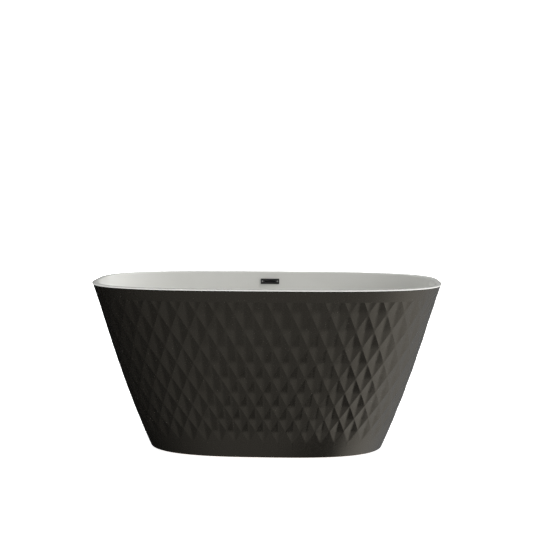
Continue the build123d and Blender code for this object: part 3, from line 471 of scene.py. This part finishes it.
def grown_mesh(piece, tree, values):
    """Runs a geometry-nodes tree on a piece and keeps the result as its plain mesh."""
    modifier = piece.modifiers.new(tree.name, "NODES")
    modifier.node_group = tree
    for item in tree.interface.items_tree:
        if item.in_out == "INPUT" and item.name in values:
            modifier[item.identifier] = values[item.name]
    bpy.context.view_layer.update()
    grown = bpy.data.meshes.new_from_object(piece.evaluated_get(bpy.context.evaluated_depsgraph_get()))
    piece.modifiers.remove(modifier)
    piece.data = grown
    return piece


def make_shell(material):
    """The dimpled black shell."""
    rows = shell_rows()
    columns = 2 * DIAMOND_COLUMNS * CELL_STEPS
    rings = []
    for height, inset, _, _ in rows:
        ring = superellipse_ring(*shell_outline(height, inset), columns)
        rings.append(np.column_stack([ring, np.full(columns, height)]))
    mesh = closed_rings_mesh("diamond_shell", rings, crease_split(rows))
    recalculate_outward(mesh)
    stations = np.arange(columns) / CELL_STEPS
    shares = [reached and pattern_share(row, column) for _, _, row, reached in rows for column in stations]
    for name, values in (
        ("column", np.tile(stations, len(rows))),
        ("row", np.repeat([row[2] for row in rows], columns)),
        ("pattern", shares),
    ):
        layer = mesh.attributes.new(name, "FLOAT", "POINT")
        layer.data.foreach_set("value", np.asarray(values, np.float32))
    shell = add_object("diamond_shell", mesh)
    grown_mesh(
        shell,
        dimple_tree(),
        {
            "Dimple depth": DIMPLE_DEPTH,
            "Valley rounding": VALLEY_ROUNDING,
            "Crease angle": CREASE_ANGLE,
            "Material": material,
        },
    )
    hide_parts("outer_shell")
    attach(shell, "tub")
    return shell


# ---------------------------------------------------------------- basin
END_LEAN = (HALF_LENGTH - RIM_LEDGE - WELL_HALF_LENGTH) / (HEIGHT - FLOOR_HEIGHT)
SIDE_LEAN = (HALF_WIDTH - RIM_LEDGE - WELL_HALF_WIDTH) / (HEIGHT - FLOOR_HEIGHT)


def basin_wall_outline(height, wall):
    """Outline of the basin's leaning wall at a height, moved out by a wall thickness."""
    rise = (height - FLOOR_HEIGHT) / (HEIGHT - FLOOR_HEIGHT)
    half_length = WELL_HALF_LENGTH + END_LEAN * (height - FLOOR_HEIGHT) + wall
    half_width = WELL_HALF_WIDTH + SIDE_LEAN * (height - FLOOR_HEIGHT) + wall
    return half_length, half_width, WELL_POWER + rise * (RIM_POWER - WELL_POWER)


def basin_knee_section(share, wall):
    """Height and outline on the curve from the floor, share 0, to the wall, share 1."""
    floor = FLOOR_HEIGHT - wall
    knee_height = FLOOR_HEIGHT + KNEE_RISE
    knee = basin_wall_outline(knee_height, wall)
    corner = basin_wall_outline(floor, wall)
    flat = (WELL_HALF_LENGTH - KNEE_REACH, WELL_HALF_WIDTH - KNEE_REACH)
    near, middle, far = (1 - share) ** 2, 2 * share * (1 - share), share**2
    half_length = near * flat[0] + middle * corner[0] + far * knee[0]
    half_width = near * flat[1] + middle * corner[1] + far * knee[1]
    power = corner[2] + share * (knee[2] - corner[2])
    return floor + far * (knee_height - floor), (half_length, half_width, power)


def basin_sections():
    """Sections of the basin's skin: over the rim, down the inside to the drain hole,
    and back out under the floor and up the outside."""
    sections = []
    turns = [math.radians(angle) for angle in (0, 22.5, 45, 67.5, 90)]
    rim_bottom = HEIGHT - RIM_THICKNESS
    edge_inset = RIM_OUTER_RADIUS / 2
    sections.append((rim_bottom, (HALF_LENGTH - edge_inset, HALF_WIDTH - edge_inset, RIM_POWER)))
    sections.append((rim_bottom + RIM_OUTER_RADIUS / 2, (HALF_LENGTH, HALF_WIDTH, RIM_POWER)))
    for turn in turns:
        inset = RIM_OUTER_RADIUS * (1 - math.cos(turn))
        height = HEIGHT - RIM_OUTER_RADIUS * (1 - math.sin(turn))
        sections.append((height, (HALF_LENGTH - inset, HALF_WIDTH - inset, RIM_POWER)))
    for turn in turns:
        inset = RIM_INNER_RADIUS * (1 - math.sin(turn))
        drop = RIM_INNER_RADIUS * (1 - math.cos(turn))
        length, width, power = basin_wall_outline(HEIGHT - drop, 0)
        sections.append((HEIGHT - drop, (length + inset, width + inset, power)))
    knee_height = FLOOR_HEIGHT + KNEE_RISE
    top = HEIGHT - RIM_INNER_RADIUS
    for step in range(1, WALL_STEPS):
        height = top + step * (knee_height - top) / WALL_STEPS
        sections.append((height, basin_wall_outline(height, 0)))
    for step in range(KNEE_STEPS + 1):
        sections.append(basin_knee_section(1 - step / KNEE_STEPS, 0))
    flat_length, flat_width = WELL_HALF_LENGTH - KNEE_REACH, WELL_HALF_WIDTH - KNEE_REACH
    for share in (0.25, 0.5, 0.75, 1.0):
        length = flat_length + share * (DRAIN_RECESS_RADIUS - flat_length)
        width = flat_width + share * (DRAIN_RECESS_RADIUS - flat_width)
        sections.append((FLOOR_HEIGHT, (length, width, WELL_POWER + share * (2 - WELL_POWER))))
    recess = FLOOR_HEIGHT - DRAIN_RECESS_DEPTH
    underside = FLOOR_HEIGHT - BASIN_WALL
    sections.append((recess, (DRAIN_RECESS_RADIUS, DRAIN_RECESS_RADIUS, 2)))
    sections.append((recess, (DRAIN_HOLE_RADIUS, DRAIN_HOLE_RADIUS, 2)))
    sections.append((underside, (DRAIN_HOLE_RADIUS, DRAIN_HOLE_RADIUS, 2)))
    for share in (0.5, 0):
        length = flat_length + share * (DRAIN_HOLE_RADIUS - flat_length)
        width = flat_width + share * (DRAIN_HOLE_RADIUS - flat_width)
        sections.append((underside, (length, width, WELL_POWER + share * (2 - WELL_POWER))))
    for step in range(1, KNEE_STEPS + 1):
        sections.append(basin_knee_section(step / KNEE_STEPS, BASIN_WALL))
    for step in range(1, WALL_STEPS + 1):
        height = knee_height + step * (rim_bottom - knee_height) / WALL_STEPS
        sections.append((height, basin_wall_outline(height, BASIN_WALL)))
    return sections


def overflow_cutter():
    """A block in the shape of the overflow's slot and screw holes, set through the basin's wall."""
    height = HEIGHT - OVERFLOW_DROP
    place = Vector((0, basin_wall_outline(height, 0)[1], height))
    inward = Vector((0, -1, SIDE_LEAN)).normalized()
    upward = inward.cross(Vector((1, 0, 0)))
    end_radius = SLOT_HEIGHT / 2
    half_straight = (SLOT_LENGTH - SLOT_HEIGHT) / 2
    outlines = []
    slot = []
    for step in range(2 * ROUND_STEPS + 2):
        side = 1 if step <= ROUND_STEPS else -1
        turn = math.pi * (step - (step > ROUND_STEPS)) / ROUND_STEPS - math.pi / 2
        slot.append((side * half_straight + end_radius * math.cos(turn), end_radius * math.sin(turn)))
    outlines.append(slot)
    for side in (-1, 1):
        turns = [2 * math.pi * step / ROUND_STEPS for step in range(ROUND_STEPS)]
        centre = side * COVER_SCREW_SPACING / 2
        outlines.append(
            [(centre + SCREW_HOLE_RADIUS * math.cos(t), SCREW_HOLE_RADIUS * math.sin(t)) for t in turns]
        )
    work = bmesh.new()
    for outline in outlines:
        rims = []
        for reach in (-2 * BASIN_WALL, 2 * BASIN_WALL):
            at = [place + Vector((1, 0, 0)) * x + upward * y + inward * reach for x, y in outline]
            rims.append([work.verts.new(point) for point in at])
        work.faces.new(rims[0])
        work.faces.new(reversed(rims[1]))
        for near in range(len(outline)):
            far = (near + 1) % len(outline)
            work.faces.new((rims[0][far], rims[0][near], rims[1][near], rims[1][far]))
    bmesh.ops.recalc_face_normals(work, faces=work.faces)
    mesh = bpy.data.meshes.new("overflow_cutter")
    work.to_mesh(mesh)
    work.free()
    return add_object("overflow_cutter", mesh)


def cut_through(piece, cutter):
    """Cuts the cutter's shape out of a piece for good, and throws the cutter away."""
    cut = piece.modifiers.new("cut", "BOOLEAN")
    cut.operation = "DIFFERENCE"
    cut.solver = "EXACT"
    cut.object = cutter
    bpy.context.view_layer.update()
    piece.data = bpy.data.meshes.new_from_object(piece.evaluated_get(bpy.context.evaluated_depsgraph_get()))
    piece.modifiers.remove(cut)
    bpy.data.objects.remove(cutter)


def make_basin(material):
    """The white bathing basin with its flat rim."""
    rings = []
    for height, outline in basin_sections():
        ring = superellipse_ring(*outline, BASIN_COLUMNS)
        rings.append(np.column_stack([ring, np.full(BASIN_COLUMNS, height)]))
    mesh = closed_rings_mesh("white_basin", rings)
    recalculate_outward(mesh)
    mesh.materials.append(material)
    basin = add_object("white_basin", mesh)
    cut_through(basin, overflow_cutter())
    basin.data.shade_smooth()
    basin.data.set_sharp_from_angle(angle=BASIN_CREASE_ANGLE)
    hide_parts("basin")
    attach(basin, "tub")
    return basin


# ---------------------------------------------------------------- stage
CAMERA_PLACE = Vector((0.1998, -4.4617, 1.2131))
CAMERA_YAW = -0.0451
CAMERA_PITCH = 0.0982
CAMERA_ROLL = 0.0022
CAMERA_LENS = 69.53
SENSOR_WIDTH = 36

FLOOR_HALF_WIDTH = 16
FLOOR_NEAR = -12
FLOOR_FAR = 8
BACKDROP_RADIUS = 4
BACKDROP_TOP = 14
BACKDROP_STEPS = 12

TOP_LIGHT_PLACE = (0.3, -0.6, 4.2)
TOP_LIGHT_AIM = (0, 0, 0.2)
TOP_LIGHT_SIZE = (5.0, 4.0)
TOP_LIGHT_POWER = 22
BACKDROP_LIGHT_PLACE = (0, 3.0, 7.0)
BACKDROP_LIGHT_AIM = (0, 11.0, 1.0)
BACKDROP_LIGHT_SIZE = (10.0, 3.0)
BACKDROP_LIGHT_POWER = 900
FLOOR_GLOW = 0.9
FLOOR_LUMPS = 3
FLOOR_PAINT_RANGE = (0.3, 0.7)
FLOOR_PALE = (0.93, 0.93, 0.93)
FLOOR_DARKER = (0.91, 0.91, 0.91)
FLOOR_ROUGHNESS = 0.9

# Brightness of the studio's walls by direction, in degrees from the front towards the tub's right
STUDIO_WALLS = (
    (-180, 0.0),
    (-120, 0.02),
    (-82, 0.10),
    (-53, 0.21),
    (-32, 0.37),
    (-16, 0.54),
    (0, 0.72),
    (13, 0.80),
    (29, 1.25),
    (51, 2.05),
    (70, 2.30),
    (101, 1.65),
    (121, 1.00),
    (141, 0.50),
    (160, 0.22),
    (180, 0.0),
)
# The walls dim towards the ceiling, and a dark thing stands on the floor at the front right
CEILING_REACH = 0.6
CEILING_SHARE = 0.4
DARK_PATCH_ANGLES = (-2, 30)
DARK_PATCH_BLUR = 8
DARK_PATCH_DEPTH = (-0.50, -0.44)
DARK_PATCH_SHARE = 0.9


def make_camera():
    """The camera, looking along +Y and a little down."""
    lens = bpy.data.cameras.new("camera")
    lens.lens = CAMERA_LENS
    lens.sensor_width = SENSOR_WIDTH
    camera = bpy.data.objects.new("camera", lens)
    bpy.context.scene.collection.objects.link(camera)
    turn = Matrix.Rotation(-CAMERA_YAW, 4, "Z") @ Matrix.Rotation(math.pi / 2 - CAMERA_PITCH, 4, "X")
    camera.matrix_world = Matrix.Translation(CAMERA_PLACE) @ turn @ Matrix.Rotation(CAMERA_ROLL, 4, "Z")
    bpy.context.scene.camera = camera


def make_floor():
    """A pale floor that curves up into a backdrop far behind."""
    profile = [(FLOOR_NEAR, 0)]
    for step in range(BACKDROP_STEPS + 1):
        turn = math.pi / 2 * step / BACKDROP_STEPS
        profile.append((FLOOR_FAR + BACKDROP_RADIUS * math.sin(turn), BACKDROP_RADIUS * (1 - math.cos(turn))))
    profile.append((FLOOR_FAR + BACKDROP_RADIUS, BACKDROP_TOP))
    work = bmesh.new()
    edges = [[work.verts.new((side * FLOOR_HALF_WIDTH, y, z)) for side in (-1, 1)] for y, z in profile]
    for near, far in zip(edges, edges[1:]):
        work.faces.new((near[0], near[1], far[1], far[0]))
    mesh = bpy.data.meshes.new("pale_floor")
    work.to_mesh(mesh)
    work.free()
    mesh.shade_smooth()
    material, tree, shader = new_material("pale_floor")
    paint = mapped(tree, object_noise(tree, FLOOR_LUMPS), *FLOOR_PAINT_RANGE, 0, 1)
    tree.links.new(blended(tree, paint, FLOOR_PALE, FLOOR_DARKER), shader.inputs["Base Color"])
    shader.inputs["Roughness"].default_value = FLOOR_ROUGHNESS
    shader.inputs["Emission Color"].default_value = (1, 1, 1, 1)
    shader.inputs["Emission Strength"].default_value = FLOOR_GLOW
    mesh.materials.append(material)
    floor = add_object("pale_floor", mesh)
    floor.visible_glossy = False


def make_studio_walls():
    """Surroundings that are dark on the tub's left, pale in front and bright on its right."""
    world = bpy.data.worlds.new("studio")
    bpy.context.scene.world = world
    world.use_nodes = True
    tree = world.node_tree
    nodes, links = tree.nodes, tree.links
    direction = nodes.new("ShaderNodeSeparateXYZ")
    links.new(nodes.new("ShaderNodeTexCoord").outputs["Generated"], direction.inputs[0])
    rightward, backward, upward = direction.outputs
    angle = maths(tree, "ARCTAN2", rightward, maths(tree, "MULTIPLY", backward, -1))
    ramp = nodes.new("ShaderNodeValToRGB")
    links.new(mapped(tree, angle, -math.pi, math.pi, 0, 1), ramp.inputs["Fac"])
    brightest = max(brightness for _, brightness in STUDIO_WALLS)
    stops = ramp.color_ramp.elements
    for degrees, _ in STUDIO_WALLS[1:-1]:
        stops.new((degrees + 180) / 360)
    for stop, (_, brightness) in zip(stops, STUDIO_WALLS):
        share = brightness / brightest
        stop.color = (share, share, share, 1)
    overhead = mapped(tree, upward, 0, CEILING_REACH, 1, CEILING_SHARE)
    near, far = (math.radians(edge) for edge in DARK_PATCH_ANGLES)
    blur = math.radians(DARK_PATCH_BLUR)
    past_near = mapped(tree, angle, near, near + blur, 0, 1)
    before_far = mapped(tree, angle, far, far + blur, 1, 0)
    sideways = maths(tree, "MINIMUM", past_near, before_far)
    low = mapped(tree, upward, *DARK_PATCH_DEPTH, 1, 0)
    patch = maths(tree, "MULTIPLY", maths(tree, "MULTIPLY", sideways, low), DARK_PATCH_SHARE)
    strength = maths(tree, "MULTIPLY", overhead, maths(tree, "SUBTRACT", 1, patch))
    background = nodes["Background"]
    links.new(maths(tree, "MULTIPLY", strength, brightest), background.inputs["Strength"])
    links.new(ramp.outputs["Color"], background.inputs["Color"])


def area_light(name, place, aim, size, power):
    """A soft rectangular light at a place, aimed at a point."""
    data = bpy.data.lights.new(name, "AREA")
    data.shape = "RECTANGLE"
    data.size, data.size_y = size
    data.energy = power
    lamp = bpy.data.objects.new(name, data)
    bpy.context.scene.collection.objects.link(lamp)
    lamp.location = place
    lamp.rotation_euler = (Vector(aim) - Vector(place)).to_track_quat("-Z", "Y").to_euler()


# ---------------------------------------------------------------- making
bpy.context.scene.view_settings.view_transform = "Standard"
make_camera()
make_floor()
make_studio_walls()
area_light("top_light", TOP_LIGHT_PLACE, TOP_LIGHT_AIM, TOP_LIGHT_SIZE, TOP_LIGHT_POWER)
area_light(
    "backdrop_light", BACKDROP_LIGHT_PLACE, BACKDROP_LIGHT_AIM, BACKDROP_LIGHT_SIZE, BACKDROP_LIGHT_POWER
)
finish_cad_nodes()
make_shell(finishes["satin_black_acrylic"])
make_basin(finishes["white_acrylic"])
